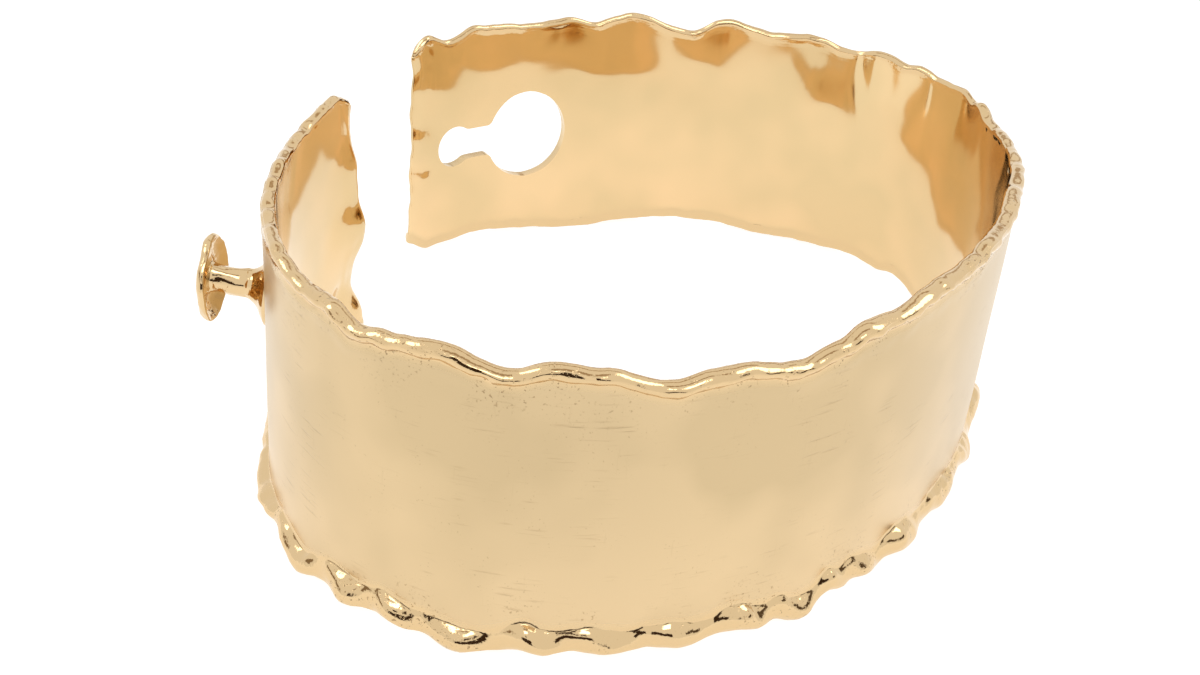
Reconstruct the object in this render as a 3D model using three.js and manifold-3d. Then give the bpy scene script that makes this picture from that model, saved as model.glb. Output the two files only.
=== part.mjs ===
// A gold keyhole cuff: one hammered strip bent to a wrist oval and open at the back, its edges
// melted into lumpy rims, with a keyhole cut near one end and a stud soldered near the other.
// Millimetres. The cuff stands on its lower rim at Z 0, long axis along X, opening towards +Y.

import * as THREE from 'three';
import { mergeVertices } from 'three/addons/utils/BufferGeometryUtils.js';
import Module from 'manifold-3d';

// Plan oval through the middle of the sheet, seen from above, angles counterclockwise from +X
const halfLength = 36.7;
const halfWidth = 26.4;
const cornerBulge = 0.3;
const studEndAngle = 109;
const keyEndAngle = 78;
const keyEndSpring = 5.8;
const springSweep = 75;

// Strip: the sheet, its height over the rims, and how much taller it gets at the stud end
const sheetThickness = 1.0;
const stripHeight = 22.6;
const studEndGain = 1.4;
const gainSpan = 85;

// Rims: half melted edges, thicker than the sheet, and the rounding of the strip's corners
const rimHeight = 1.8;
const rimProud = 0.4;
const rimInnerProud = 0.1;
const cornerDrop = 1.0;
const cornerSpan = 2.2;
const endProud = 0.3;
const endSpan = 2.4;
const dentRadius = 1.8;

// Stud: a round post with a flared foot and a dished button on its tip. It leans a little up and
// towards the strip's end, and its foot is sunk into the sheet by a share of the sheet
const postDiameter = 2.3;
const postLength = 4.8;
const footDiameter = 6.0;
const footHeight = 1.8;
const buttonDiameter = 6.6;
const buttonThickness = 0.8;
const buttonDish = 0.7;
const buttonTilt = 6;
const postTilt = 5;
const postLean = -5;
const studFromEnd = 17.5;
const studLift = 2.75;
const studSunk = 0.6;

// Keyhole: what the button passes, what the post slides along, and where it comes to rest
const buttonClearance = 1.0;
const postClearance = 0.4;
const restClearance = 0.9;
const keyholePitch = 8.1;
const keyholeEndWall = 2.9;
const keyholeDrop = 0.4;

// Mesh steps
const stepsAlong = 150;
const stepsAcross = 4;
const roundSteps = 28;

// Upper rim, crests and dips: at is a share of the strip's length, rise a share of the rim's height,
// swell a share of how far it stands proud
const upperRim = [
  { at: 0.000, rise: -0.10, swell: 1.0 }, { at: 0.025, rise: 0.15, swell: 1.3 },
  { at: 0.055, rise: -0.10, swell: 0.8 }, { at: 0.085, rise: 0.12, swell: 1.3 },
  { at: 0.120, rise: -0.12, swell: 0.8 }, { at: 0.150, rise: 0.15, swell: 1.4 },
  { at: 0.175, rise: 0.00, swell: 0.9 }, { at: 0.197, rise: 0.22, swell: 1.1 },
  { at: 0.209, rise: -0.09, swell: 0.8 }, { at: 0.222, rise: 0.15, swell: 1.0 },
  { at: 0.243, rise: 0.38, swell: 1.2 }, { at: 0.266, rise: -0.14, swell: 0.8 },
  { at: 0.282, rise: 0.38, swell: 1.2 }, { at: 0.300, rise: 0.22, swell: 0.9 },
  { at: 0.319, rise: -0.32, swell: 0.8 }, { at: 0.345, rise: 0.02, swell: 1.2 },
  { at: 0.373, rise: -0.34, swell: 0.8 }, { at: 0.389, rise: 0.05, swell: 1.2 },
  { at: 0.402, rise: 0.52, swell: 1.4 }, { at: 0.418, rise: 0.45, swell: 0.9 },
  { at: 0.440, rise: 0.80, swell: 1.2 }, { at: 0.465, rise: 0.70, swell: 0.8 },
  { at: 0.490, rise: 0.82, swell: 1.2 }, { at: 0.515, rise: 0.62, swell: 0.9 },
  { at: 0.540, rise: 0.70, swell: 1.3 }, { at: 0.565, rise: 0.55, swell: 0.8 },
  { at: 0.590, rise: 0.42, swell: 1.1 }, { at: 0.610, rise: 0.26, swell: 0.8 },
  { at: 0.645, rise: -0.05, swell: 0.9 }, { at: 0.657, rise: 0.28, swell: 1.2 },
  { at: 0.665, rise: 0.00, swell: 0.9 }, { at: 0.675, rise: 0.17, swell: 1.1 },
  { at: 0.697, rise: -0.06, swell: 0.8 }, { at: 0.712, rise: 0.11, swell: 1.1 },
  { at: 0.720, rise: -0.11, swell: 0.9 }, { at: 0.733, rise: 0.06, swell: 1.0 },
  { at: 0.755, rise: -0.39, swell: 0.8 }, { at: 0.775, rise: -0.06, swell: 1.1 },
  { at: 0.796, rise: -0.22, swell: 0.9 }, { at: 0.823, rise: 0.17, swell: 1.2 },
  { at: 0.841, rise: -0.60, swell: 0.8 }, { at: 0.874, rise: 0.28, swell: 1.2 },
  { at: 0.893, rise: -0.22, swell: 0.8 }, { at: 0.909, rise: 0.06, swell: 1.1 },
  { at: 0.925, rise: -0.11, swell: 0.9 }, { at: 0.962, rise: 0.11, swell: 1.1 },
  { at: 0.979, rise: -0.45, swell: 0.8 }, { at: 0.992, rise: 0.10, swell: 1.3 },
  { at: 1.000, rise: 0.00, swell: 1.0 },
];

// Lower rim in the same way, above the surface it stands on: what falls below is filed flat there
const lowerRim = [
  { at: 0.000, rise: 0.15, swell: 1.0 }, { at: 0.025, rise: -0.20, swell: 1.5 },
  { at: 0.045, rise: 0.25, swell: 0.8 }, { at: 0.075, rise: 0.05, swell: 1.4 },
  { at: 0.105, rise: 0.30, swell: 0.8 }, { at: 0.135, rise: 0.00, swell: 1.5 },
  { at: 0.155, rise: 0.25, swell: 0.9 }, { at: 0.180, rise: -0.20, swell: 1.4 },
  { at: 0.193, rise: 0.25, swell: 0.7 }, { at: 0.207, rise: 0.08, swell: 1.7 },
  { at: 0.217, rise: 0.30, swell: 0.8 }, { at: 0.228, rise: 0.36, swell: 1.5 },
  { at: 0.239, rise: 0.20, swell: 0.6 }, { at: 0.253, rise: -0.20, swell: 1.6 },
  { at: 0.267, rise: 0.15, swell: 0.6 }, { at: 0.280, rise: 0.42, swell: 1.8 },
  { at: 0.292, rise: 0.40, swell: 0.7 }, { at: 0.305, rise: 0.30, swell: 1.6 },
  { at: 0.319, rise: 0.28, swell: 0.7 }, { at: 0.333, rise: 0.20, swell: 1.4 },
  { at: 0.348, rise: 0.30, swell: 0.7 }, { at: 0.361, rise: 0.30, swell: 1.8 },
  { at: 0.374, rise: 0.25, swell: 0.6 }, { at: 0.386, rise: -0.20, swell: 1.6 },
  { at: 0.395, rise: 0.10, swell: 0.7 }, { at: 0.404, rise: 0.45, swell: 1.3 },
  { at: 0.412, rise: 0.40, swell: 0.8 }, { at: 0.421, rise: 0.35, swell: 1.5 },
  { at: 0.433, rise: 0.20, swell: 0.7 }, { at: 0.450, rise: 0.25, swell: 2.0 },
  { at: 0.470, rise: 0.20, swell: 0.8 }, { at: 0.490, rise: 0.00, swell: 1.7 },
  { at: 0.515, rise: 0.25, swell: 0.8 }, { at: 0.530, rise: -0.10, swell: 1.8 },
  { at: 0.550, rise: -0.20, swell: 0.9 }, { at: 0.575, rise: 0.25, swell: 1.5 },
  { at: 0.605, rise: 0.05, swell: 0.8 }, { at: 0.640, rise: 0.30, swell: 1.2 },
  { at: 0.672, rise: 0.05, swell: 0.8 }, { at: 0.700, rise: 0.62, swell: 1.1 },
  { at: 0.717, rise: 0.30, swell: 0.8 }, { at: 0.733, rise: 0.40, swell: 1.1 },
  { at: 0.765, rise: 0.15, swell: 1.3 }, { at: 0.792, rise: 0.05, swell: 0.8 },
  { at: 0.818, rise: 0.35, swell: 1.1 }, { at: 0.845, rise: 0.45, swell: 0.8 },
  { at: 0.871, rise: 0.25, swell: 1.1 }, { at: 0.900, rise: -0.20, swell: 1.3 },
  { at: 0.925, rise: 0.15, swell: 0.8 }, { at: 0.957, rise: 0.45, swell: 1.1 },
  { at: 0.985, rise: 0.25, swell: 0.9 }, { at: 1.000, rise: 0.30, swell: 1.0 },
];

// Dents hammered into the strip's two ends: at is a share of the strip's height, bite a share of
// the dent's radius
const studEndDents = [
  { at: 0.20, bite: 0.35 }, { at: 0.55, bite: 0.30 }, { at: 0.90, bite: 0.35 },
];
const keyEndDents = [
  { at: 0.13, bite: 0.15 }, { at: 0.43, bite: 0.25 }, { at: 0.66, bite: 0.25 },
];

const wasm = await Module();
wasm.setup();

const { clamp, smoothstep, degToRad } = THREE.MathUtils;

// Value of a table at a place, eased between its rows
function follow(rows, at, column) {
  const next = Math.max(1, rows.findIndex((row) => row.at >= at));
  const from = rows[next - 1];
  const to = rows[next];
  return from[column] + (to[column] - from[column]) * smoothstep(at, from.at, to.at);
}

// Plan of the strip, centred on the origin: points from the stud end round the front to the
// keyhole end, and the distance along the strip to each
function bendStrip() {
  const samples = 1440;
  const points = [];
  for (let i = 0; i <= samples; i += 1) {
    const sweep = 360 + keyEndAngle - studEndAngle;
    const degrees = studEndAngle + (sweep * i) / samples;
    const angle = degToRad(degrees);
    const oval = 1 / Math.hypot(Math.cos(angle) / halfLength, Math.sin(angle) / halfWidth);
    const last = studEndAngle + sweep;
    const spring = keyEndSpring * smoothstep(degrees, last - springSweep, last);
    const radius = oval + cornerBulge * Math.cos(3 * angle) + spring;
    points.push(new THREE.Vector2(radius * Math.cos(angle), radius * Math.sin(angle)));
  }
  const centre = new THREE.Box2().setFromPoints(points).getCenter(new THREE.Vector2());
  points.forEach((point) => point.sub(centre));
  const lengths = [0];
  for (let i = 1; i <= samples; i += 1) {
    lengths.push(lengths[i - 1] + points[i].distanceTo(points[i - 1]));
  }
  return { points, lengths, length: lengths[samples] };
}

const bend = bendStrip();

// A flat place on the strip (distance along it, distance out of it, height) goes to its bent place
function wrapPoint(along, outward, height) {
  const { points, lengths } = bend;
  const inside = clamp(along, 0, bend.length);
  let low = 0;
  let high = lengths.length - 1;
  while (high - low > 1) {
    const middle = (low + high) >> 1;
    if (lengths[middle] <= inside) low = middle;
    else high = middle;
  }
  const share = (inside - lengths[low]) / (lengths[high] - lengths[low]);
  const place = points[low].clone().lerp(points[high], share);
  const before = points[Math.max(0, low - 4)];
  const after = points[Math.min(points.length - 1, high + 4)];
  const run = after.clone().sub(before).normalize();
  place.addScaledVector(run, along - inside);
  return new THREE.Vector3(place.x + run.y * outward, place.y - run.x * outward, height);
}

// Wraps a flat geometry: its X runs along the strip, its Y towards the inside and its Z up
function wrap(geometry) {
  const spots = geometry.getAttribute('position');
  for (let i = 0; i < spots.count; i += 1) {
    const bent = wrapPoint(spots.getX(i), -spots.getY(i), spots.getZ(i));
    spots.setXYZ(i, bent.x, bent.y, bent.z);
  }
  return geometry;
}

// Height of the strip's upper and lower edge at a distance along it
function upperEdge(along) {
  const gain = studEndGain * clamp(1 - along / gainSpan, 0, 1) ** 2;
  return stripHeight + gain + rimHeight * follow(upperRim, along / bend.length, 'rise') - cornerCut(along);
}

function lowerEdge(along) {
  return rimHeight * follow(lowerRim, along / bend.length, 'rise') + cornerCut(along);
}

function cornerCut(along) {
  const fromEnd = Math.min(along, bend.length - along);
  return cornerDrop * clamp(1 - fromEnd / cornerSpan, 0, 1) ** 2;
}

// How much thicker than the sheet the hammered ends are, thinning to a rounded edge
function endSwell(along) {
  const fromEnd = Math.min(along, bend.length - along) / endSpan;
  if (fromEnd >= 1) return 0;
  const roundEdge = -0.75 * sheetThickness * clamp(1 - fromEnd * 5, 0, 1) ** 2;
  return endProud * Math.sin(Math.PI * fromEnd) + roundEdge;
}

// Distance along the strip of a column of its mesh, closer together at the rounded ends
function columnPlace(column) {
  const endColumns = [0, 0.12, 0.35, 0.65];
  const fromEnd = Math.min(column, stepsAlong - column);
  const step = (bend.length - 2 * endSpan) / (stepsAlong - 2 * endColumns.length);
  const distance = fromEnd < endColumns.length
    ? endSpan * endColumns[fromEnd]
    : endSpan + (fromEnd - endColumns.length) * step;
  return column === fromEnd ? distance : bend.length - distance;
}

// The strip with its rims, laid out flat: a box whose rows are drawn into the rims' round section
function stripGeometry() {
  const sideRows = 4;
  const rows = 2 * sideRows + 2;
  const box = new THREE.BoxGeometry(1, 1, 1, stepsAlong, stepsAcross, rows);
  const spots = box.getAttribute('position');
  const middle = sheetThickness / 2;
  for (let i = 0; i < spots.count; i += 1) {
    const along = columnPlace(Math.round((spots.getX(i) + 0.5) * stepsAlong));
    const across = spots.getY(i) * 2;
    const row = Math.round((spots.getZ(i) + 0.5) * rows);
    const fromEdge = Math.min(row, rows - row);
    const isUpper = row > rows / 2;
    const edge = isUpper ? upperEdge(along) : lowerEdge(along);
    const inwards = isUpper ? -1 : 1;
    const swell = follow(isUpper ? upperRim : lowerRim, along / bend.length, 'swell');
    const half = middle + (across > 0 ? rimInnerProud : rimProud) * swell;
    // Angle round the rim's section: 90 on its crest, 45 at its shoulder, then down its side
    const angle = degToRad(fromEdge === 0 ? 90 - 45 * Math.abs(across) : 45 - 27 * fromEdge);
    let inward = across * half * Math.cos(angle);
    let height = edge + (inwards * rimHeight * (1 - Math.sin(angle))) / 2;
    if (fromEdge === 0) inward = Math.sign(across) * half * Math.cos(angle);
    if (fromEdge === sideRows) {
      inward = across * middle;
      height = edge + inwards * rimHeight * 1.1;
    }
    if (fromEdge > sideRows) {
      inward = across * middle;
      height = (upperEdge(along) + lowerEdge(along)) / 2;
    }
    inward += (across / 2) * endSwell(along);
    spots.setXYZ(i, along, inward, Math.max(0, height));
  }
  return box;
}

// Balls that bite the dents out of the two ends, flat
function dentGeometries() {
  const ball = (row, end, outwards) => {
    const dent = new THREE.SphereGeometry(dentRadius, 12, 8);
    dent.rotateX(Math.PI / 2);
    return dent.translate(end + outwards * dentRadius * (1 - row.bite), 0, stripHeight * row.at);
  };
  return [
    ...studEndDents.map((row) => ball(row, 0, -1)),
    ...keyEndDents.map((row) => ball(row, bend.length, 1)),
  ];
}

// The keyhole's outline, flat: a round mouth, a neck and a round rest, as seen from outside
function keyholeGeometry() {
  const mouth = buttonDiameter / 2 + buttonClearance;
  const neck = postDiameter / 2 + postClearance;
  const rest = postDiameter / 2 + restClearance;
  const restAt = bend.length - keyholeEndWall - rest;
  const mouthAt = restAt - keyholePitch;
  const mouthTurn = Math.asin(neck / mouth);
  const restTurn = Math.asin(neck / rest);
  const outline = new THREE.Shape();
  outline.absarc(mouthAt, 0, mouth, mouthTurn, 2 * Math.PI - mouthTurn, false);
  outline.absarc(restAt, 0, rest, restTurn - Math.PI, Math.PI - restTurn, false);
  outline.closePath();
  const depth = 4 * sheetThickness;
  const options = { depth, bevelEnabled: false, curveSegments: roundSteps };
  const cutter = new THREE.ExtrudeGeometry(outline, options);
  cutter.rotateX(Math.PI / 2);
  cutter.translate(0, depth / 2, stripHeight / 2 - keyholeDrop);
  return cutter;
}

// The stud, turned about its own axis with its foot's underside inside the sheet at Z 0
function studGeometry() {
  const post = postDiameter / 2;
  const foot = footDiameter / 2;
  const button = buttonDiameter / 2;
  const sunk = sheetThickness * studSunk;
  const tip = sunk + postLength;
  const rimAt = tip - buttonDish + buttonThickness / 2;
  const profile = new THREE.Path();
  profile.moveTo(0, 0);
  profile.lineTo(foot, 0);
  profile.lineTo(foot, sunk * 0.75);
  profile.quadraticCurveTo(post * 1.1, sunk + footHeight * 0.15, post, sunk + footHeight);
  profile.lineTo(post, tip - buttonThickness * 0.5);
  profile.quadraticCurveTo(post * 1.2, tip, button * 0.6, tip);
  profile.quadraticCurveTo(button * 0.95, tip - buttonDish * 0.2, button, rimAt - buttonThickness / 2);
  profile.quadraticCurveTo(button * 1.04, rimAt, button * 0.96, rimAt + buttonThickness / 2);
  profile.quadraticCurveTo(button * 0.6, tip + buttonThickness, 0, tip + buttonThickness * 1.05);
  const turned = new THREE.LatheGeometry(profile.getPoints(5), roundSteps);
  turned.rotateX(Math.PI / 2);
  tipButton(turned, rimAt - buttonThickness);
  return turned;
}

// Tips the button and draws its round into the hammered, slightly pointed one
function tipButton(turned, from) {
  const spots = turned.getAttribute('position');
  for (let i = 0; i < spots.count; i += 1) {
    const spot = new THREE.Vector3().fromBufferAttribute(spots, i);
    const radius = Math.hypot(spot.x, spot.y);
    const reach = smoothstep(radius, postDiameter / 2, buttonDiameter / 2);
    if (spot.z < from || reach === 0) continue;
    const around = Math.atan2(spot.y, spot.x);
    const round = 1 + reach * (0.03 * Math.cos(2 * around) - 0.04 * Math.sin(3 * around + 0.4));
    const lift = spot.y * reach * Math.tan(degToRad(buttonTilt));
    spots.setXYZ(i, spot.x * round, spot.y * round, spot.z + lift);
  }
}

// Stands the stud on the strip: its X runs along the strip, its Y down it and its Z out of it
function placeStud(geometry) {
  const below = sheetThickness * (0.5 - studSunk);
  const seat = wrapPoint(studFromEnd, below, stripHeight / 2 + studLift);
  const outward = wrapPoint(studFromEnd, 1, 0).sub(wrapPoint(studFromEnd, 0, 0)).normalize();
  const up = new THREE.Vector3(0, 0, 1);
  outward.applyAxisAngle(outward.clone().cross(up).normalize(), degToRad(postTilt));
  outward.applyAxisAngle(up, degToRad(postLean));
  const along = up.clone().cross(outward).normalize();
  const down = outward.clone().cross(along);
  const frame = new THREE.Matrix4().makeBasis(along, down, outward).setPosition(seat);
  return geometry.applyMatrix4(frame);
}

// Closed three.js geometry as a manifold, and a manifold as three.js geometry
function toManifold(geometry) {
  const bare = new THREE.BufferGeometry();
  bare.setAttribute('position', geometry.getAttribute('position').clone());
  bare.setIndex(geometry.getIndex());
  const merged = mergeVertices(bare, 1e-4);
  const vertProperties = new Float32Array(merged.getAttribute('position').array);
  const triVerts = new Uint32Array(merged.getIndex().array);
  return new wasm.Manifold(new wasm.Mesh({ numProp: 3, vertProperties, triVerts }));
}

function toGeometry(solid) {
  const mesh = solid.getMesh();
  const indexed = new THREE.BufferGeometry();
  indexed.setAttribute('position', new THREE.BufferAttribute(mesh.vertProperties, 3));
  indexed.setIndex(new THREE.BufferAttribute(mesh.triVerts, 1));
  indexed.computeVertexNormals();
  return indexed;
}

const gold = new THREE.MeshStandardMaterial({ name: 'gold', color: '#e2bf86', metalness: 1, roughness: 0.25 });

// Strip, less the keyhole, with the stud soldered on, centred over the origin
function cuffMesh() {
  const strip = toManifold(wrap(stripGeometry()));
  const cuts = [keyholeGeometry(), ...dentGeometries()].map((cut) => toManifold(wrap(cut)));
  const stud = toManifold(placeStud(studGeometry()));
  const cuff = toGeometry(wasm.Manifold.difference([strip, ...cuts]).add(stud));
  cuff.computeBoundingBox();
  const centre = cuff.boundingBox.getCenter(new THREE.Vector3());
  cuff.translate(-centre.x, -centre.y, 0);
  const mesh = new THREE.Mesh(cuff, gold);
  mesh.name = 'cuff_bracelet';
  return mesh;
}

const group = new THREE.Group();
group.add(cuffMesh());

export default group;
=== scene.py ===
import bisect
import math

import bmesh
import bpy
from mathutils import Matrix, Vector, noise


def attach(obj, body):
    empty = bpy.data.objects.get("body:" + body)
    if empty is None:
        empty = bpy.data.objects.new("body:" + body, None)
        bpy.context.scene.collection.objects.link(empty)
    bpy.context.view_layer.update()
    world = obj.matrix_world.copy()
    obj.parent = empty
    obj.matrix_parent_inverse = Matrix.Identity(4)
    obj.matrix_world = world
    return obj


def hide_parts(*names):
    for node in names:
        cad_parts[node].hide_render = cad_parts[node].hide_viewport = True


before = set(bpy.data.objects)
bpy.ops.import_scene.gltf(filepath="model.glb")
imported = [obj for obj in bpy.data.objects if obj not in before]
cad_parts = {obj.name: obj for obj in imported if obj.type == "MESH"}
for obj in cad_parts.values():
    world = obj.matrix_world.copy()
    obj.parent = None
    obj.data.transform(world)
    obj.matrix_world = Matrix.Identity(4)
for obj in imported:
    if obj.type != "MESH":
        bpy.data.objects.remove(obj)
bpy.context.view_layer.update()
mm = 0.001
hair = 0.001        # in millimetres: places closer than this are the same

# Lengths are in millimetres and angles in degrees. The ones that the solid has too come from its source.
cuff = {
    "halfLength": 36.7,
    "halfWidth": 26.4,
    "cornerBulge": 0.3,           # makes the oval's corners a little fuller
    "bulges": 3,
    "studEndAngle": 109,
    "keyEndAngle": 78,
    "keyEndSpring": 5.8,          # how far the keyhole's end springs out, and from how far back
    "springSweep": 75,
    "sheet": 1.0,
    "height": 22.6,
    "studEndGain": 1.4,           # the strip is this much taller at the stud's end
    "gainSpan": 85,
    "rimHeight": 1.8,
    "rimProud": 0.4,
    "rimInnerProud": 0.1,
    "cornerDrop": 1.0,            # rounding of the four corners
    "cornerSpan": 2.2,
    "endSpan": 2.4,
    "endProud": 0.12,             # thickening of the ends
    "endThinned": 0.42,           # share that their very edge is thinner
    "endRagged": 0.35,            # unevenness of that edge
    "endBulge": 0.25,             # how far its middle stands out
    "wander": 0.25,               # how far the rims stray sideways
    "wanderDepth": 5,             # and down to where
    "fineWander": 0.5,            # share of that in short waves, outside only
    "fineWanderDepth": 3,
    "ripple": 0.14,               # unevenness of the rims' line, up and down
    "lumpsOutside": 1.6,          # shares of a rim's lumps on the two sides
    "lumpsInside": 0.6,
    "lumpLift": 0.12,
    "sheetWave": 0.08,            # unevenness of the whole sheet
    "hammerWave": 0.08,           # and of its inside
    "fineHammerWave": 0.024,
    "softStep": 0.07,             # the faint second step under the upper bead
    "softStepDrop": 0.9,
    "softStepRagged": 0.3,
    "softStepEase": 0.35,
    "rimFade": (0.85, 1.3),       # shares of the rim's height between which its finish ends
    "grimeDepth": 3.5,            # how far below it grime reaches
    "beadFront": ((22, 40), (104, 118)),    # places along the strip where its front starts and ends
    "stepFront": ((12, 30), (108, 120)),
    "calmFrom": (20, 34),         # past here the upper rim ripples less
}

cuffMesh = {
    "bendSamples": 1440,
    "columns": 560,
    "endColumns": 10,
    "rimRows": 10,
    "stepRows": 8,
    "stepZone": 2.6,              # closer rows under each rim, for the soft step there
    "middleRows": 36,
    "capCuts": 5,
    "smoothUnder": 50,
}

bead = {
    "crestAngle": 90,             # round its section, where its faces start and where its foot is
    "faceAngle": 30,
    "footAngle": -75,
    "footEase": 0.004,
    "leastSwell": 0.3,
}

# Rows of a rim: share of the strip's length, rise as a share of the rim's height, swell
upperRim = {
    "inwards": -1,
    "tall": 0.62,                 # share of the rim's height that the bead takes
    "tallBack": 0.58,             # and how much of that is left away from the front
    "tallEven": 0.62,             # share of its height that stays even, and that follows the swell
    "tallSwell": 0.36,
    "proud": 0.6,                 # share of the rim's swell that the bead shows
    "proudBack": 0.0,
    "halfBack": 0.8,              # the bead's thickness away from the front
    "innerProud": 0.8,
    "slant": 0.8,                 # how far the lumps slant over their height
    "slope": 1.0,                 # above 1 the bead is fullest close to its foot
    "lumps": 0.07,
    "crumple": 0.4,               # unevenness of the swell
    "fineCrumple": 0.15,
    "endRipple": 2.6,
    "seeds": {"crumple": 11, "fineCrumple": 31, "ripple": 90, "wander": 60, "lumps": 40, "fineLumps": 70},
    "rows": [
        (0.000, -0.10, 1.0), (0.025, 0.15, 1.3), (0.055, -0.10, 0.8), (0.085, 0.12, 1.3), (0.120, -0.12, 0.8),
        (0.150, 0.15, 1.4), (0.175, 0.00, 0.9), (0.197, 0.22, 1.1), (0.209, -0.09, 0.8), (0.222, 0.15, 1.0),
        (0.243, 0.38, 1.2), (0.266, -0.14, 0.8), (0.282, 0.38, 1.2), (0.300, 0.22, 0.9), (0.319, -0.32, 0.8),
        (0.345, 0.02, 1.2), (0.373, -0.34, 0.8), (0.389, 0.05, 1.2), (0.402, 0.52, 1.4), (0.418, 0.45, 0.9),
        (0.440, 0.80, 1.2), (0.465, 0.70, 0.8), (0.490, 0.82, 1.2), (0.515, 0.62, 0.9), (0.540, 0.70, 1.3),
        (0.565, 0.55, 0.8), (0.590, 0.42, 1.1), (0.610, 0.26, 0.8), (0.645, -0.05, 0.9), (0.657, 0.28, 1.2),
        (0.665, 0.00, 0.9), (0.675, 0.17, 1.1), (0.697, -0.06, 0.8), (0.712, 0.11, 1.1), (0.720, -0.11, 0.9),
        (0.733, 0.06, 1.0), (0.755, -0.39, 0.8), (0.775, -0.06, 1.1), (0.796, -0.22, 0.9), (0.823, 0.17, 1.2),
        (0.841, -0.60, 0.8), (0.874, 0.28, 1.2), (0.893, -0.22, 0.8), (0.909, 0.06, 1.1), (0.925, -0.11, 0.9),
        (0.962, 0.11, 1.1), (0.979, -0.45, 0.8), (0.992, 0.10, 1.3), (1.000, 0.00, 1.0),
    ],
}

# The lower rim's rows rise above the surface that it stands on
lowerRim = {
    "inwards": 1,
    "tall": 1.2,
    "tallBack": 0.55,
    "tallEven": 0.72,
    "tallSwell": 0.2,
    "proud": 1.5,
    "proudBack": 1.25,
    "halfBack": 1.0,
    "innerProud": 0.3,
    "slant": 1.6,
    "slope": 1.6,
    "lumps": 0.035,
    "crumple": 0.2,
    "fineCrumple": 0.0,
    "endRipple": 1.0,
    "seeds": {"crumple": 23, "fineCrumple": 43, "ripple": 110, "wander": 80, "lumps": 0, "fineLumps": 0},
    "rows": [
        (0.000, 0.15, 1.0), (0.025, -0.20, 1.5), (0.045, 0.25, 0.8), (0.075, 0.05, 1.4), (0.105, 0.30, 0.8),
        (0.135, 0.00, 1.5), (0.155, 0.25, 0.9), (0.180, -0.20, 1.4), (0.193, 0.25, 0.7), (0.207, 0.08, 1.7),
        (0.217, 0.30, 0.8), (0.228, 0.36, 1.5), (0.239, 0.20, 0.6), (0.253, -0.20, 1.6), (0.267, 0.15, 0.6),
        (0.280, 0.42, 1.8), (0.292, 0.40, 0.7), (0.305, 0.30, 1.6), (0.319, 0.28, 0.7), (0.333, 0.20, 1.4),
        (0.348, 0.30, 0.7), (0.361, 0.30, 1.8), (0.374, 0.25, 0.6), (0.386, -0.20, 1.6), (0.395, 0.10, 0.7),
        (0.404, 0.45, 1.3), (0.412, 0.40, 0.8), (0.421, 0.35, 1.5), (0.433, 0.20, 0.7), (0.450, 0.25, 2.0),
        (0.470, 0.20, 0.8), (0.490, 0.00, 1.7), (0.515, 0.25, 0.8), (0.530, -0.10, 1.8), (0.550, -0.20, 0.9),
        (0.575, 0.25, 1.5), (0.605, 0.05, 0.8), (0.640, 0.30, 1.2), (0.672, 0.05, 0.8), (0.700, 0.62, 1.1),
        (0.717, 0.30, 0.8), (0.733, 0.40, 1.1), (0.765, 0.15, 1.3), (0.792, 0.05, 0.8), (0.818, 0.35, 1.1),
        (0.845, 0.45, 0.8), (0.871, 0.25, 1.1), (0.900, -0.20, 1.3), (0.925, 0.15, 0.8), (0.957, 0.45, 1.1),
        (0.985, 0.25, 0.9), (1.000, 0.30, 1.0),
    ],
}

# Hammered hollows where the upper inside leans out: place along the strip, half its span, its
# lowest height, tilt in degrees
insideLean = [
    (129.0, 5.0, 14.5, 3.3), (142.6, 3.0, 15.0, 5.2), (156.0, 3.6, 17.8, 3.4), (166.0, 5.5, 16.8, 4.0),
    (173.0, 5.5, 18.4, 2.2), (180.0, 5.0, 18.2, 3.2), (185.5, 3.5, 16.6, 3.6),
]
lean = {
    "raggedSide": 1.0,            # unevenness of a hollow's sides
    "raggedFoot": 1.2,            # and of its lower border
    "full": 0.35,                 # share of the half span up to which it leans in full
    "gone": 1.45,
    "footEase": 0.8,              # height over which the tilt starts
    "straight": 3.5,              # height from which it turns upright again
    "turn": 4.5,                  # and over which it does
}

# Waves of the two ends' edges: height, how far the edge bends inwards
studEndWave = [
    (-1.0, 0.9), (2.6, 0.9), (5.9, -0.35), (11.6, 1.15), (14.4, 0.45), (16.6, 0.4), (20.5, -0.4),
    (27.0, -0.4),
]
keyEndWave = [
    (-1.0, 0.0), (3.0, -0.12), (6.5, 0.12), (9.3, -0.10), (12.0, 0.15), (14.5, -0.12), (18.0, 0.05),
    (27.0, 0.1),
]

# Dimples beside the ends: distance from the stud end (below 0 from the keyhole end), height,
# radius, depth
endDimples = [
    (-1.3, 9.8, 1.6, 0.18), (-1.0, 3.2, 1.0, 0.15), (-1.6, 13.4, 1.9, 0.06),
    (2.2, 12.0, 2.6, -0.20), (3.0, 5.6, 1.6, 0.22),
]


def smooth(value, low, high):
    share = min(1, max(0, (value - low) / (high - low)))
    return share * share * (3 - 2 * share)


def unevenness(x, y, z):
    return noise.noise(Vector((x, y, z)))


# A share that is 1 on the cuff's front and eases to another at its back
def fromBack(back, isFront):
    return back + (1 - back) * isFront


def frontShare(along, span):
    return smooth(along, *span[0]) - smooth(along, *span[1])


# Value of a table at a place, eased between its rows
def follow(rows, at, column):
    after = min(len(rows) - 1, max(1, bisect.bisect_left(rows, at, key=lambda row: row[0])))
    start, end = rows[after - 1], rows[after]
    return start[column] + (end[column] - start[column]) * smooth(at, start[0], end[0])


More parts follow.
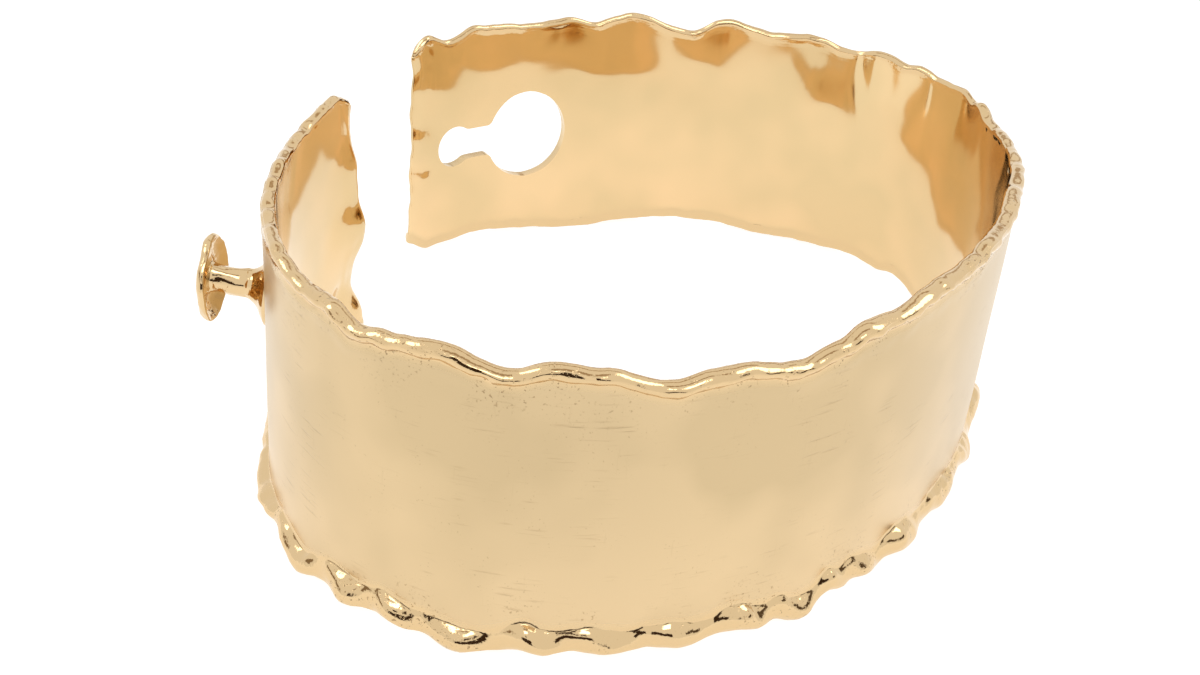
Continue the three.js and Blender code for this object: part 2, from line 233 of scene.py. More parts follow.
# Plan of the strip from the stud end round the front to the keyhole end
def bendStrip():
    points = []
    sweep = 360 + cuff["keyEndAngle"] - cuff["studEndAngle"]
    end = cuff["studEndAngle"] + sweep
    samples = cuffMesh["bendSamples"]
    for i in range(samples + 1):
        degrees = cuff["studEndAngle"] + sweep * i / samples
        angle = math.radians(degrees)
        oval = 1 / math.hypot(math.cos(angle) / cuff["halfLength"], math.sin(angle) / cuff["halfWidth"])
        spring = cuff["keyEndSpring"] * smooth(degrees, end - cuff["springSweep"], end)
        radius = oval + cuff["cornerBulge"] * math.cos(cuff["bulges"] * angle) + spring
        points.append(Vector((radius * math.cos(angle), radius * math.sin(angle), 0)))
    lengths = [0]
    for before, after in zip(points, points[1:]):
        lengths.append(lengths[-1] + (after - before).length)
    centre = Vector([(max(p[k] for p in points) + min(p[k] for p in points)) / 2 for k in range(3)])
    return [p - centre for p in points], lengths


bendPoints, bendLengths = bendStrip()
stripLength = bendLengths[-1]


# A flat place (along, out of the sheet, height) goes to its bent place. The strip's run is taken
# over some samples to either side.
def wrapPoint(along, outward, height):
    reach = 6
    inside = min(stripLength, max(0, along))
    low = min(len(bendLengths) - 2, max(0, bisect.bisect_right(bendLengths, inside) - 1))
    share = (inside - bendLengths[low]) / (bendLengths[low + 1] - bendLengths[low])
    place = bendPoints[low].lerp(bendPoints[low + 1], share)
    back, ahead = max(0, low - reach), min(len(bendPoints) - 1, low + reach + 1)
    middle = low + share
    first = bendPoints[back].lerp(bendPoints[back + 1], min(1, max(0, middle - reach - back)))
    last = bendPoints[ahead - 1].lerp(bendPoints[ahead], min(1, max(0, middle + reach - ahead + 1)))
    run = (last - first).normalized()
    place = place + run * (along - inside)
    return Vector((place.x + run.y * outward, place.y - run.x * outward, height))


def cornerCut(along):
    fromEnd = min(along, stripLength - along)
    return cuff["cornerDrop"] * max(0, 1 - fromEnd / cuff["cornerSpan"]) ** 2


# Height of a rim's edge, without its ripple and with it
def edgeHeight(along, rim):
    edge = cuff["rimHeight"] * follow(rim["rows"], along / stripLength, 1)
    if rim is lowerRim:
        return edge + cornerCut(along)
    gain = cuff["studEndGain"] * max(0, 1 - along / cuff["gainSpan"]) ** 2
    return cuff["height"] + gain + edge - cornerCut(along)


def rippledEdge(along, rim):
    seed = rim["seeds"]["ripple"]
    ripple = unevenness(along * 0.55, seed, 0) + 0.35 * unevenness(along * 1.25, seed, 5)
    ripple *= fromBack(rim["endRipple"], smooth(along, *cuff["calmFrom"]))
    return edgeHeight(along, rim) + cuff["ripple"] * ripple


# How far the inside of the sheet leans out in the hammered hollows
def leanAt(along, height):
    most = 0
    for at, halfSpan, lowest, tilt in insideLean:
        ragged = lean["raggedSide"] * unevenness(along * 0.25, height * 0.22, at)
        away = (abs(along - at) + ragged) / halfSpan
        rise = height - lowest - lean["raggedFoot"] * unevenness(along * 0.25, at, 0)
        if away >= lean["gone"] or rise <= 0:
            continue
        ease, straight, turn = lean["footEase"], lean["straight"], lean["turn"]
        if rise < ease:
            climb = rise * rise / (2 * ease)
        elif rise <= straight:
            climb = rise - ease / 2
        else:
            over = min(turn, rise - straight)
            climb = straight - ease / 2 + over - over * over / (2 * turn)
        climb *= (1 - smooth(away, lean["full"], lean["gone"])) * math.tan(math.radians(tilt))
        most = max(most, climb)
    return most


# How far the outside (side 1) or the inside (side -1) strays outwards at a flat place
def sheetOffset(along, height, side):
    offset = cuff["sheetWave"] * unevenness(along * 0.07, height * 0.11, 3.1)
    if side < 0:
        offset += cuff["hammerWave"] * unevenness(along * 0.12, height * 0.16, 7.7)
        offset += cuff["fineHammerWave"] * unevenness(along * 0.30, height * 0.34, 1.2)
    inside = (1 - side) / 2
    offset += inside * leanAt(along, height)
    for wave, reach, fromEnd in ((studEndWave, 6, along), (keyEndWave, 4, stripLength - along)):
        if fromEnd < reach:
            offset -= follow(wave, height, 1) * (1 - max(0, fromEnd) / reach) ** 2
    for at, level, radius, depth in endDimples:
        place = at if at > 0 else stripLength + at
        away = math.hypot(along - place, height - level) / radius
        if away < 1:
            offset += inside * depth * (1 - away * away) ** 2
    return offset


# The bead's section at a flat place: half width outwards and inwards, half height
def beadSize(along, rim):
    seeds = rim["seeds"]
    swell = follow(rim["rows"], along / stripLength, 2)
    swell += rim["crumple"] * unevenness(along * 0.55, seeds["crumple"], 1.5)
    swell += rim["fineCrumple"] * unevenness(along * 1.3, seeds["fineCrumple"], 1.5)
    swell = max(bead["leastSwell"], swell)
    isFront = frontShare(along, cuff["beadFront"])
    half = cuff["sheet"] / 2 * fromBack(rim["halfBack"], isFront)
    proud = cuff["rimProud"] * rim["proud"] * fromBack(rim["proudBack"], isFront)
    tall = cuff["rimHeight"] / 2 * rim["tall"] * fromBack(rim["tallBack"], isFront)
    tall *= rim["tallEven"] + rim["tallSwell"] * swell
    return half + proud * swell, half + cuff["rimInnerProud"] * swell * rim["innerProud"], tall


keyhole = {
    "mouthDiameter": 8.6,
    "neckWidth": 3.1,
    "restDiameter": 4.1,
    "pitch": 8.1,
    "endWall": 2.9,
    "drop": 0.4,                  # below the middle of the strip
    "cornerCut": 0.42,            # where the neck meets the two rounds
    "cornerSteps": 4,
    "arcSteps": 40,
}


def meshObject(name, bm):
    mesh = bpy.data.meshes.new(name)
    bm.to_mesh(mesh)
    bm.free()
    piece = bpy.data.objects.new(name, mesh)
    bpy.context.scene.collection.objects.link(piece)
    return piece


# Cutter in the flat: the keyhole's outline with its neck's corners rounded, pulled into a prism
def keyholeCutter():
    mouth, rest, neck = keyhole["mouthDiameter"] / 2, keyhole["restDiameter"] / 2, keyhole["neckWidth"] / 2
    restAt = stripLength - keyhole["endWall"] - rest
    mouthAt = restAt - keyhole["pitch"]
    level = cuff["height"] / 2 - keyhole["drop"]
    below, above = -2, 2
    steps = keyhole["arcSteps"]
    bm = bmesh.new()
    outline, corners = [], []
    for centre, radius, turned in ((mouthAt, mouth, 0), (restAt, rest, math.pi)):
        opening = math.asin(neck / radius)
        for i in range(steps + 1):
            angle = opening - turned + 2 * (math.pi - opening) * i / steps
            spot = (centre + radius * math.cos(angle), level + radius * math.sin(angle), below)
            outline.append(bm.verts.new(spot))
            if i in (0, steps):
                corners.append(outline[-1])
    bm.faces.new(outline)
    bmesh.ops.bevel(bm, geom=corners, offset=keyhole["cornerCut"], offset_type="OFFSET",
                    segments=keyhole["cornerSteps"], profile=0.5, affect="VERTICES", material=-1)
    pulled = bmesh.ops.extrude_face_region(bm, geom=bm.faces[:])
    lifted = [v for v in pulled["geom"] if isinstance(v, bmesh.types.BMVert)]
    bmesh.ops.translate(bm, verts=lifted, vec=(0, 0, above - below))
    bmesh.ops.recalc_face_normals(bm, faces=bm.faces[:])
    return meshObject("keyholeCutter", bm)


# Flat strip: a grid with closer rows in the rims, given thickness, with the keyhole cut out
def flatStrip():
    columns, endColumns = cuffMesh["columns"], cuffMesh["endColumns"]
    beadRows, stepRows = cuffMesh["rimRows"], cuffMesh["stepRows"]
    rows = 2 * (beadRows + stepRows) + cuffMesh["middleRows"]
    rimZone, stepZone = cuff["rimHeight"], cuffMesh["stepZone"]
    step = (stripLength - 2 * cuff["endSpan"]) / (columns - 2 * endColumns)
    bm = bmesh.new()
    bmesh.ops.create_grid(bm, x_segments=columns, y_segments=rows, size=1)
    for vert in bm.verts:
        column = round((vert.co.x + 1) / 2 * columns)
        row = round((vert.co.y + 1) / 2 * rows)
        fromEnd = min(column, columns - column)
        if fromEnd < endColumns:
            along = cuff["endSpan"] * fromEnd / endColumns
        else:
            along = cuff["endSpan"] + (fromEnd - endColumns) * step
        fromEdge = min(row, rows - row)
        if fromEdge <= beadRows:
            up = rimZone * fromEdge / beadRows
        elif fromEdge <= beadRows + stepRows:
            up = rimZone + stepZone * (fromEdge - beadRows) / stepRows
        else:
            share = (fromEdge - beadRows - stepRows) / cuffMesh["middleRows"]
            up = rimZone + stepZone + (cuff["height"] - 2 * (rimZone + stepZone)) * share
        vert.co.x = along if column == fromEnd else stripLength - along
        vert.co.y = up if row == fromEdge else cuff["height"] - up
    # Both faces, half a sheet out and in, closed at the edges with cuts between them
    bmesh.ops.translate(bm, verts=bm.verts[:], vec=(0, 0, 0.5))
    pulled = bmesh.ops.extrude_face_region(bm, geom=bm.faces[:], use_keep_orig=True)
    lowered = [v for v in pulled["geom"] if isinstance(v, bmesh.types.BMVert)]
    bmesh.ops.translate(bm, verts=lowered, vec=(0, 0, -1))
    bmesh.ops.recalc_face_normals(bm, faces=bm.faces[:])
    across = [e for e in bm.edges if abs(e.verts[0].co.z - e.verts[1].co.z) > 0.5]
    bmesh.ops.subdivide_edges(bm, edges=across, cuts=cuffMesh["capCuts"])
    strip = meshObject("cuff_band", bm)
    cutter = keyholeCutter()
    cut = strip.modifiers.new("keyhole", "BOOLEAN")
    cut.object, cut.operation, cut.solver = cutter, "DIFFERENCE", "EXACT"
    ready = strip.evaluated_get(bpy.context.evaluated_depsgraph_get())
    strip.data = bpy.data.meshes.new_from_object(ready)
    strip.modifiers.clear()
    bpy.data.objects.remove(cutter)
    return strip


# How far out and how high a flat place lies, drawn into the bead or the sheet under it
def drawBead(along, level, side, rim, lump):
    rimZone, sheetHalf, inwards = cuff["rimHeight"], cuff["sheet"] / 2, rim["inwards"]
    crest, face, foot = bead["crestAngle"], bead["faceAngle"], bead["footAngle"]
    fromEdge = min(level, cuff["height"] - level)
    down = min(1, fromEdge / rimZone)          # 0 at the rim's edge, 1 at its foot
    halfOut, halfIn, tall = beadSize(along + rim["slant"] * (down - 0.5), rim)
    half = halfOut if side >= 0 else halfIn
    edge = rippledEdge(along, rim)
    if fromEdge < hair:
        angle = math.radians(crest - (crest - face) * abs(side))
    else:
        angle = math.radians(face - (face - foot) * down)
    if fromEdge <= rimZone + hair:
        uneven = rim["lumps"] * (cuff["lumpsOutside"] if side >= 0 else cuff["lumpsInside"])
        thick = half * math.cos(angle) * (1 + uneven * lump)
        if angle <= 0:
            gap = thick - sheetHalf
            thick = sheetHalf + (gap + math.sqrt(gap * gap + bead["footEase"])) / 2
        climb = ((1 - math.sin(angle)) / 2) ** rim["slope"]
        height = edge + inwards * tall * 2 * climb * (1 + cuff["lumpLift"] * lump)
    else:
        # The rows under the bead keep their place below its foot, and the middle is shared out
        thick = sheetHalf
        footLevel = rimZone if rim is lowerRim else cuff["height"] - rimZone
        footClimb = ((1 - math.sin(math.radians(foot))) / 2) ** rim["slope"]
        drawn = edge + inwards * tall * 2 * footClimb
        height = level + (drawn - footLevel) * (1 - smooth(fromEdge, rimZone, cuff["height"] / 2))
        if side >= 0 and rim is upperRim:
            below = fromEdge - rimZone - cuff["softStepDrop"] - cuff["softStepRagged"] * lump
            below /= cuff["softStepEase"]
            thick += cuff["softStep"] * frontShare(along, cuff["stepFront"]) * (1 - smooth(below, -1, 1))
    if fromEdge < hair and side:
        return math.copysign(half * math.cos(angle), side), height
    return thick * side, height


# The ends are a little thickened, then rounded off and ragged
def drawEnd(along, out, level, side, lump):
    isStudEnd = along < stripLength / 2
    fromEnd = along if isStudEnd else stripLength - along
    share = fromEnd / cuff["endSpan"]
    if share >= 1:
        return along, out
    out += side * cuff["endProud"] * 0.5 * math.sin(math.pi * share) * (1 + lump)
    out *= 1 - cuff["endThinned"] * max(0, 1 - share * 4) ** 2
    ragged = cuff["endRagged"] * unevenness(level * 0.55, 2 if isStudEnd else 9, 8)
    bulge = cuff["endBulge"] * (1 - side * side) if fromEnd < hair else 0
    return along + (ragged * (1 - share) ** 2 - bulge) * (1 if isStudEnd else -1), out


# Draws the flat strip into rims, ends and hammered sheet, then bends it round
def shapeStrip(strip):
    bm = bmesh.new()
    bm.from_mesh(strip.data)
    bmesh.ops.triangulate(bm, faces=[f for f in bm.faces if len(f.verts) > 4])
    onRim = bm.verts.layers.float.new("rim")
    onInside = bm.verts.layers.float.new("inner")
    nearRim = bm.verts.layers.float.new("nearRim")
    rimZone = cuff["rimHeight"]
    for vert in bm.verts:
        along, level, side = vert.co.x, vert.co.y, vert.co.z * 2
        if abs(side) < hair:    # the cut leaves the edges' middle a hair off 0, to either side
            side = 0
        rim = upperRim if level > cuff["height"] / 2 - hair else lowerRim
        seeds = rim["seeds"]
        fromEdge = min(level, cuff["height"] - level)
        lump = unevenness(along * 0.8, level * 0.9 + seeds["lumps"], side * 1.5)
        lump += 0.5 * unevenness(along * 1.7, level * 1.6 + seeds["fineLumps"], side * 1.5)
        out, height = drawBead(along, level, side, rim, lump)
        along, out = drawEnd(along, out, level, side, lump)
        stray = unevenness(along * 0.16, seeds["wander"], 0)
        if side >= 0:
            finer = unevenness(along * 0.6, seeds["wander"], 3)
            stray += cuff["fineWander"] * finer * (1 - smooth(fromEdge, 0, cuff["fineWanderDepth"]))
        out += (1 - smooth(fromEdge, 0, cuff["wanderDepth"])) * cuff["wander"] * stray
        out += sheetOffset(along, height, side)
        vert.co = wrapPoint(along, out, max(0, height)) * mm
        vert[onRim] = 1 - smooth(fromEdge / rimZone, *cuff["rimFade"])
        vert[onInside] = 1 if side < 0 else 0
        vert[nearRim] = 1 - smooth(fromEdge - rimZone, 0, cuff["grimeDepth"])
    for edge in bm.edges:
        if len(edge.link_faces) == 2:
            edge.smooth = edge.calc_face_angle() < math.radians(cuffMesh["smoothUnder"])
    for face in bm.faces:
        face.smooth = True
    bm.to_mesh(strip.data)
    bm.free()
    strip.data.update()


stud = {
    "postDiameter": 2.3,
    "postLength": 4.8,
    "footDiameter": 6.0,
    "footHeight": 1.8,
    "footCurve": 2.4,
    "footEdge": 0.75,             # share of its sunk part that is upright
    "footSteps": 8,
    "buttonDiameter": 6.6,
    "buttonThickness": 0.8,
    "buttonDish": 0.7,
    "buttonTilt": 6,
    "postTilt": 5,
    "postLean": -5,
    "fromEnd": 17.5,
    "lift": 2.75,
    "sunk": 0.6,                  # share of the sheet that the foot sits in
    "sides": 72,
    "lumps": 0.12,
    "buttonLumps": 0.05,
    "buttonWarp": 0.12,
    "buttonOval": 0.03,           # its outline is a little oval and three-cornered
    "buttonCorners": 0.04,
    # Below the button: share of the post's radius, rise in button thicknesses from the tip
    "postTip": [(0.93, -1.6), (1, -0.6), (1.12, -0.25), (1.4, -0.075)],
    # Round the button: share of its radius, rise in dishes and in thicknesses
    "buttonEdge": [
        (0.6, -0.12, 0), (0.8, -0.4, 0), (0.93, -0.85, 0), (0.98, -1, 0), (1.01, -0.9, 0), (1.02, -0.6, 0),
        (0.99, -1, 0.6), (0.93, -1, 0.85), (0.75, -1, 1.05), (0.4, 0, 0.45), (0.15, 0, 0.5), (0, 0, 0.5),
    ],
}


# Stud: foot, post and button turned from one profile, then tipped and stood on the strip
def makeStud():
    post, foot, button = stud["postDiameter"] / 2, stud["footDiameter"] / 2, stud["buttonDiameter"] / 2
    thick, dish = stud["buttonThickness"], stud["buttonDish"]
    sunk = cuff["sheet"] * stud["sunk"]
    tip = sunk + stud["postLength"]
    profile = [(0, 0), (foot, 0), (foot, sunk * stud["footEdge"])]
    for i in range(1, stud["footSteps"] + 1):
        share = i / stud["footSteps"]
        flare = (foot - post) * (1 - share) ** stud["footCurve"]
        profile.append((post + flare, sunk + stud["footHeight"] * share))
    profile += [(post * wide, tip + thick * rise) for wide, rise in stud["postTip"]]
    profile += [(button * wide, tip + dish * dip + thick * rise) for wide, dip, rise in stud["buttonEdge"]]
    bm = bmesh.new()
    verts = [bm.verts.new((x, 0, z)) for x, z in profile]
    edges = [bm.edges.new(pair) for pair in zip(verts, verts[1:])]
    bmesh.ops.subdivide_edges(bm, edges=edges, cuts=2)
    bmesh.ops.spin(bm, geom=bm.verts[:] + bm.edges[:], axis=(0, 0, 1), cent=(0, 0, 0),
                   angle=2 * math.pi, steps=stud["sides"], use_merge=True)
    bmesh.ops.remove_doubles(bm, verts=bm.verts[:], dist=0.002)
    bmesh.ops.recalc_face_normals(bm, faces=bm.faces[:])
    onRim = bm.verts.layers.float.new("rim")
    bm.verts.layers.float.new("inner")
    bm.verts.layers.float.new("nearRim")
    slope = math.tan(math.radians(stud["buttonTilt"]))
    for vert in bm.verts:
        x, y, z = vert.co
        radius, around = math.hypot(x, y), math.atan2(y, x)
        reach = smooth(radius, post, button) if z > tip - dish - thick * 0.5 else 0
        rough = unevenness(math.cos(around) * 1.3, math.sin(around) * 1.3, z * 0.4)
        crumple = noise.noise(vert.co * 0.9) + 0.6 * noise.noise(vert.co * 1.9)
        outline = stud["buttonOval"] * math.cos(2 * around) + stud["buttonLumps"] * rough
        outline -= stud["buttonCorners"] * math.sin(3 * around + 0.4)
        onPost = smooth(z, sunk + 0.6, sunk + 1.8) * (1 - 0.7 * reach)
        scale = 1 + reach * outline + stud["lumps"] * crumple * onPost
        vert.co = Vector((x * scale, y * scale, z + reach * (y * slope + stud["buttonWarp"] * rough)))
        vert[onRim] = 1
    for face in bm.faces:
        face.smooth = True
    seat = wrapPoint(stud["fromEnd"], cuff["sheet"] / 2 - sunk, cuff["height"] / 2 + stud["lift"])
    outward = (wrapPoint(stud["fromEnd"], 1, 0) - wrapPoint(stud["fromEnd"], 0, 0)).normalized()
    tiltAxis = outward.cross(Vector((0, 0, 1))).normalized()
    outward = Matrix.Rotation(math.radians(stud["postTilt"]), 3, tiltAxis) @ outward
    outward = Matrix.Rotation(math.radians(stud["postLean"]), 3, "Z") @ outward
    alongAxis = Vector((0, 0, 1)).cross(outward).normalized()
    stand = Matrix((alongAxis, outward.cross(alongAxis), outward)).transposed().to_4x4()
    place = Matrix.Scale(mm, 4) @ Matrix.Translation(seat) @ stand
    bmesh.ops.transform(bm, matrix=place, verts=bm.verts[:])
    return meshObject("stud", bm)


# A socket in an expression: adding and multiplying makes the Math nodes
class Amount:
    def __init__(self, finish, socket):
        self.finish, self.socket = finish, socket

    def math(self, operation, first, second):
        made = self.finish.node("ShaderNodeMath", {"operation": operation}, {0: first, 1: second})
        return Amount(self.finish, made.outputs[0])

    def __add__(self, other): return self.math("ADD", self, other)
    def __radd__(self, other): return self.math("ADD", other, self)
    def __sub__(self, other): return self.math("SUBTRACT", self, other)
    def __rsub__(self, other): return self.math("SUBTRACT", other, self)
    def __mul__(self, other): return self.math("MULTIPLY", self, other)
    def __rmul__(self, other): return self.math("MULTIPLY", other, self)
    def clamped(self, low, high): return self.math("MAXIMUM", self.math("MINIMUM", self, high), low)


# A material's nodes, made by one method
class Finish:
    def __init__(self, name):
        self.material = bpy.data.materials.new(name)
        self.material.use_nodes = True
        self.tree = self.material.node_tree
        self.tree.nodes.clear()

    def node(self, kind, settings=None, values=None):
        made = self.tree.nodes.new(kind)
        for key, value in (settings or {}).items():
            setattr(made, key, value)
        for key, value in (values or {}).items():
            if isinstance(value, Amount):
                self.tree.links.new(value.socket, made.inputs[key])
            elif isinstance(value, bpy.types.NodeSocket):
                self.tree.links.new(value, made.inputs[key])
            else:
                made.inputs[key].default_value = value
        return made

    def attribute(self, name):
        return Amount(self, self.node("ShaderNodeAttribute", {"attribute_name": name}).outputs["Fac"])

    # Eases from one value to another while an input goes from low to high
    def eased(self, value, low, high, first=0, last=1):
        spread = {"Value": value, "From Min": low, "From Max": high, "To Min": first, "To Max": last}
        made = self.node("ShaderNodeMapRange", {"interpolation_type": "SMOOTHSTEP"}, spread)
        return Amount(self, made.outputs[0])

    def place(self):
        return self.node("ShaderNodeTexCoord").outputs["Object"]

    def close(self, shader):
        self.node("ShaderNodeOutputMaterial", {}, {"Surface": shader.outputs[0]})
        return self.material


gold = {
    "outside": (0.74, 0.557, 0.325, 1),
    # painted shade: the duller colours also stand for shade painted towards the top of the cuff
    "outsideDullAndShaded": (0.615, 0.465, 0.265, 1),
    # painted light: the inside colours are painted brighter and warmer than the outside, standing for the
    # light it reflects from the floor
    "inside": (0.84, 0.60, 0.33, 1),
    "insideDullAndShaded": (0.71, 0.53, 0.285, 1),
    "rims": (0.73, 0.53, 0.29, 1),
    "grime": (0.22, 0.12, 0.045, 1),
    "outsideRoughness": 0.30,
    "insideRoughness": 0.09,
    "rimRoughness": 0.07,
    "smearing": 0.05,             # how much the roughness varies
    "paintedShadeFrom": 0.003,            # metres up the cuff between which painted shade darkens it towards the top
    "paintedShadeTo": 0.017,
    "paintedTopShade": 0.6,
    "dullClouds": 0.75,
    "grimeMost": 0.6,
    "specks": 0.4,
    "uprightScratches": 0.3,
    "scratchGrime": 0.3,
    "grimeSinks": 0.8,
    "scratchSinks": 0.3,
    "wrinkles": 0.63,
    "fineWrinkles": 0.45,
    "bumpStrength": 0.5,
    "bumpDepth": 0.00005,
}

# Grain of the gold: fineness, detail, stretch, and the values between which it goes from 0 to 1
goldGrain = {
    "pits": (4200, 2, (1, 1, 1), 0.63, 0.70),
    "patches": (260, 2, (1, 1, 1), 0.46, 0.60),
    "specks": (5200, 1, (1, 1, 1), 0.70, 0.76),
    "scratches": (5200, 1, (0.07, 0.07, 1), 0.62, 0.76),
    "uprightScratches": (4600, 1, (1, 1, 0.08), 0.68, 0.78),
    "smears": (60, 3, (1, 1, 1), 0, 1),
    "clouds": (85, 2, (1, 1, 1), 0.40, 0.62),
    "wrinkles": (1300, 2, (1, 1, 1), 0, 1),
    "fineWrinkles": (3200, 3, (1, 1, 1), 0, 1),
}


def goldFinish():
    g = Finish("polished_gold")
    place = g.place()
    rim, inner, nearRim = g.attribute("rim"), g.attribute("inner"), g.attribute("nearRim")

    def grain(name):
        scale, detail, stretch, low, high = goldGrain[name]
        moved = g.node("ShaderNodeMapping", {"vector_type": "POINT"}, {"Vector": place, "Scale": stretch})
        spots = {"Vector": moved.outputs[0], "Scale": scale, "Detail": detail}
        made = g.node("ShaderNodeTexNoise", {}, spots).outputs["Fac"]
        spread = g.node("ShaderNodeMapRange", {}, {"Value": made, "From Min": low, "From Max": high})
        return Amount(g, spread.outputs[0])

    def mixed(share, first, second):
        return g.node("ShaderNodeMix", {"data_type": "RGBA"}, {0: share, 6: first, 7: second}).outputs[2]

    # Colour: darker above from painted shade, duller in random clouds, the inside painted brighter than the
    # outside, with grime in the pits near the rims
    level = g.node("ShaderNodeSeparateXYZ", {}, {0: place}).outputs[2]
    # painted shade: the gold is painted darker towards the top of the cuff
    upper = g.eased(level, gold["paintedShadeFrom"], gold["paintedShadeTo"])
    cloudsAndTopShade = (grain("clouds") * gold["dullClouds"] + upper * gold["paintedTopShade"]).clamped(0, 1)
    outside = mixed(cloudsAndTopShade, gold["outside"], gold["outsideDullAndShaded"])
    # painted light: the inside takes its brighter painted colours
    fields = mixed(inner, outside, mixed(cloudsAndTopShade, gold["inside"], gold["insideDullAndShaded"]))
    base = mixed(rim, fields, gold["rims"])
    patches = grain("patches")
    scratches = grain("scratches") + grain("uprightScratches") * gold["uprightScratches"]
    scratches = scratches * patches * (1 - rim) * (1 - inner)
    pits = (grain("pits") * nearRim + grain("specks") * gold["specks"]) * patches * (1 - inner)
    soil = (pits + scratches * gold["scratchGrime"]).clamped(0, 1)
    soiled = mixed(soil * gold["grimeMost"], base, gold["grime"])

    fieldRough = (1 - inner) * gold["outsideRoughness"] + inner * gold["insideRoughness"]
    rough = (1 - rim) * fieldRough + rim * gold["rimRoughness"] + (grain("smears") - 0.5) * gold["smearing"]
    wrinkles = grain("wrinkles") * gold["wrinkles"] + grain("fineWrinkles") * gold["fineWrinkles"]
    dents = wrinkles * rim - soil * gold["grimeSinks"] - scratches * gold["scratchSinks"]
    bump = g.node("ShaderNodeBump", {}, {
        "Strength": gold["bumpStrength"], "Distance": gold["bumpDepth"], "Height": dents,
    })
    return g.close(g.node("ShaderNodeBsdfPrincipled", {}, {
        "Base Color": soiled, "Metallic": 1.0,
        "Roughness": rough.clamped(0.05, 0.6), "Normal": bump.outputs[0],
    }))


studio = {
    "floorSize": 3.0,
    "floorColour": (0.40, 0.40, 0.40),
    "floorGlow": (0.84, 0.68),    # close to the cuff and far from it
    "glowSpan": (0.04, 0.13),     # metres between which it changes
    "shadeAt": 58,                # a soft shade painted into its glow in front of the cuff, where the camera's shadow would fall
    "shadeSpan": (0.008, 0.030),
    "shade": 0.06,
    "worldStrength": 1.0,
    "domeRadius": 0.8,
    "aim": (-5.05, -0.44, 7.21),
    "azimuth": -59.8,
    "elevation": 30.46,
    "distance": 130.0,
    "roll": -5.42,
    "lens": 46.4,
    "sensor": 36,
}

# Cards in the dome: turn from the camera's side and height in degrees, width and height in metres,
# colour, brightness
studioCards = [
    ("dark_room", 0, 12, 0.9, 0.24, (1, 0.6, 0.35), 0.05),
    ("dark_left", -75, 12, 0.5, 0.16, (1, 0.75, 0.5), 0.30),
    ("dark_right", 80, 14, 0.5, 0.16, (1, 0.75, 0.5), 0.12),
    ("dark_camera", 0, 33, 0.16, 0.14, (1, 0.7, 0.5), 0.08),
    ("lamp_front", 6, 58, 0.5, 0.22, (1, 0.99, 0.97), 3.6),
    ("lamp_left", -100, 45, 0.25, 0.35, (1, 0.99, 0.97), 3.2),
    ("lamp_right", 105, 50, 0.25, 0.35, (1, 0.99, 0.97), 3.2),
    ("gap_above", 20, 80, 0.5, 0.14, (1, 0.8, 0.6), 0.5),
    ("gap_back", 180, 52, 0.7, 0.12, (1, 0.8, 0.6), 0.55),
    ("gap_back_low", 170, 20, 0.9, 0.10, (1, 0.8, 0.6), 0.55),
]


def cardFinish(name, colour, glow):
    g = Finish(name)
    return g.close(g.node("ShaderNodeEmission", {}, {"Color": (*colour, 1), "Strength": glow}))


# The floor is a light table that glows most where the cuff stands, with a painted shade in front of the cuff
def floorFinish():
    g = Finish("pale_floor")
    place = g.place()
    azimuth, spot = math.radians(studio["azimuth"]), studio["shadeAt"] * mm
    centre = (math.sin(azimuth) * spot, -math.cos(azimuth) * spot, 0)
    away = g.node("ShaderNodeVectorMath", {"operation": "LENGTH"}, {0: place})
    fromSpot = g.node("ShaderNodeVectorMath", {"operation": "DISTANCE"}, {0: place, 1: centre})
    glow = g.eased(away.outputs["Value"], *studio["glowSpan"], *studio["floorGlow"])
    # painted shade: a darker spot in the floor's glow in front of the cuff
    shade = g.eased(fromSpot.outputs["Value"], *studio["shadeSpan"], studio["shade"], 0)
    strength = glow - shade
    light = g.node("ShaderNodeEmission", {}, {"Color": (1, 1, 1, 1), "Strength": strength})
    matt = g.node("ShaderNodeBsdfDiffuse", {}, {"Color": (*studio["floorColour"], 1)})
    return g.close(g.node("ShaderNodeAddShader", {}, {0: matt.outputs[0], 1: light.outputs[0]}))


def makeCard(name, centre, facing, width, height, material, isShown=False):
    bm = bmesh.new()
    bmesh.ops.create_grid(bm, x_segments=1, y_segments=1, size=0.5)
    turn = Vector(facing).to_track_quat("Z", "Y").to_matrix().to_4x4()
    size = Matrix.Diagonal((width, height, 1, 1))
    bmesh.ops.transform(bm, matrix=Matrix.Translation(centre) @ turn @ size, verts=bm.verts[:])
    card = meshObject(name, bm)
    card.data.materials.append(material)
    card.visible_camera = isShown
    card.visible_diffuse = isShown
    card.visible_shadow = isShown


# Direction from the cuff to the camera
def cameraSide():
    azimuth, elevation = math.radians(studio["azimuth"]), math.radians(studio["elevation"])
    flat = math.cos(elevation)
    return Vector((math.sin(azimuth) * flat, -math.cos(azimuth) * flat, math.sin(elevation)))


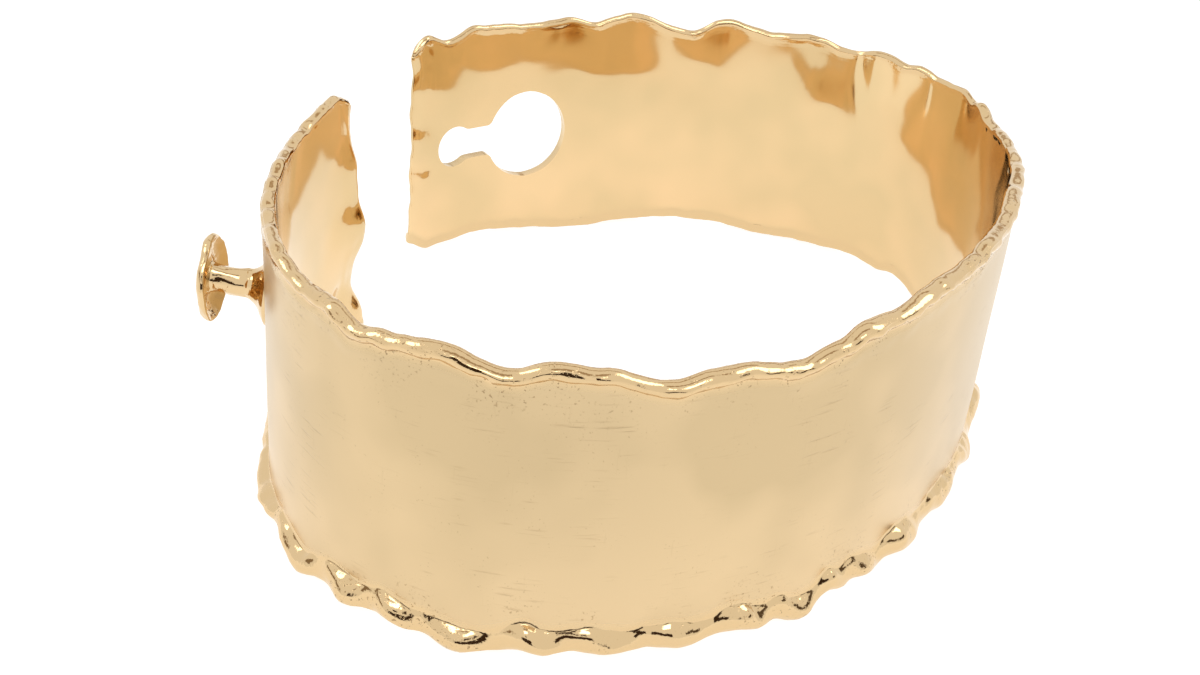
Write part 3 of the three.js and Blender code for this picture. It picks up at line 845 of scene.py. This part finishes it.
# What the gold mirrors: a white surround, the dark room behind the camera, and lamps between dark gaps
def makeStudio(towards):
    makeCard("floor", (0, 0, 0), (0, 0, 1), studio["floorSize"], studio["floorSize"], floorFinish(), True)
    world = bpy.data.worlds.new("soft_surround")
    world.use_nodes = True
    sky = world.node_tree.nodes["Background"]
    sky.inputs["Color"].default_value = (1, 1, 1, 1)
    sky.inputs["Strength"].default_value = studio["worldStrength"]
    bpy.context.scene.world = world
    level = Vector((towards.x, towards.y, 0)).normalized()
    side = Vector((-level.y, level.x, 0))
    for name, turn, height, width, tall, colour, glow in studioCards:
        angle, lift = math.radians(turn), math.radians(height)
        aside = level * math.cos(angle) + side * math.sin(angle)
        facing = aside * math.cos(lift) + Vector((0, 0, math.sin(lift)))
        makeCard(name, facing * studio["domeRadius"], -facing, width, tall, cardFinish(name, colour, glow))


def makeCamera(towards):
    right = (-towards).cross(Vector((0, 0, 1))).normalized()
    up = right.cross(-towards)
    roll = math.radians(studio["roll"])
    cameraRight = right * math.cos(roll) - up * math.sin(roll)
    cameraUp = right * math.sin(roll) + up * math.cos(roll)
    data = bpy.data.cameras.new("camera")
    data.lens, data.sensor_width = studio["lens"], studio["sensor"]
    data.clip_start, data.clip_end = 0.005, 10
    camera = bpy.data.objects.new("camera", data)
    bpy.context.scene.collection.objects.link(camera)
    turn = Matrix((cameraRight, cameraUp, towards)).transposed().to_4x4()
    place = (Vector(studio["aim"]) + towards * studio["distance"]) * mm
    camera.matrix_world = Matrix.Translation(place) @ turn
    bpy.context.scene.camera = camera
    bpy.context.scene.view_settings.view_transform = "Standard"


towards = cameraSide()
makeStudio(towards)
makeCamera(towards)
print("studio ready")
metal = goldFinish()
print("gold mixed")
band = flatStrip()
print("flat strip cut,", len(band.data.polygons), "faces")
shapeStrip(band)
print("strip shaped and bent")
button = makeStud()
print("stud made")
for piece in (band, button):
    piece.data.materials.clear()
    piece.data.materials.append(metal)
    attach(piece, "root")
    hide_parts("cuff_bracelet")
